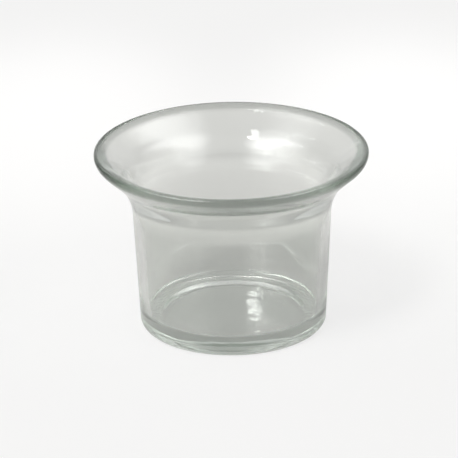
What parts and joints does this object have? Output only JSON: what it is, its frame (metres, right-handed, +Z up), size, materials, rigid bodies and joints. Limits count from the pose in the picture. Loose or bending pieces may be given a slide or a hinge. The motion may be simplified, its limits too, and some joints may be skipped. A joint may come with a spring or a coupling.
{
  "type": "flared votive candle holder",
  "caption": "Clear pressed-glass votive holder: a nearly straight cup with a thick floor that flares out to a wide rounded lip and takes a tealight.",
  "frame": {"origin": "centre of the foot, on the plane that the holder stands on", "axes": "+Z up along the axis of revolution; +X to the right and +Y away from the viewer, as in the picture"},
  "size_m": [0.074, 0.074, 0.05],
  "materials": {
    "clear_glass": "smooth clear pressed glass with a faint grey-green cast"
  },
  "bodies": {
    "root": {"votive_glass": "clear_glass"}
  },
  "joints": []
}
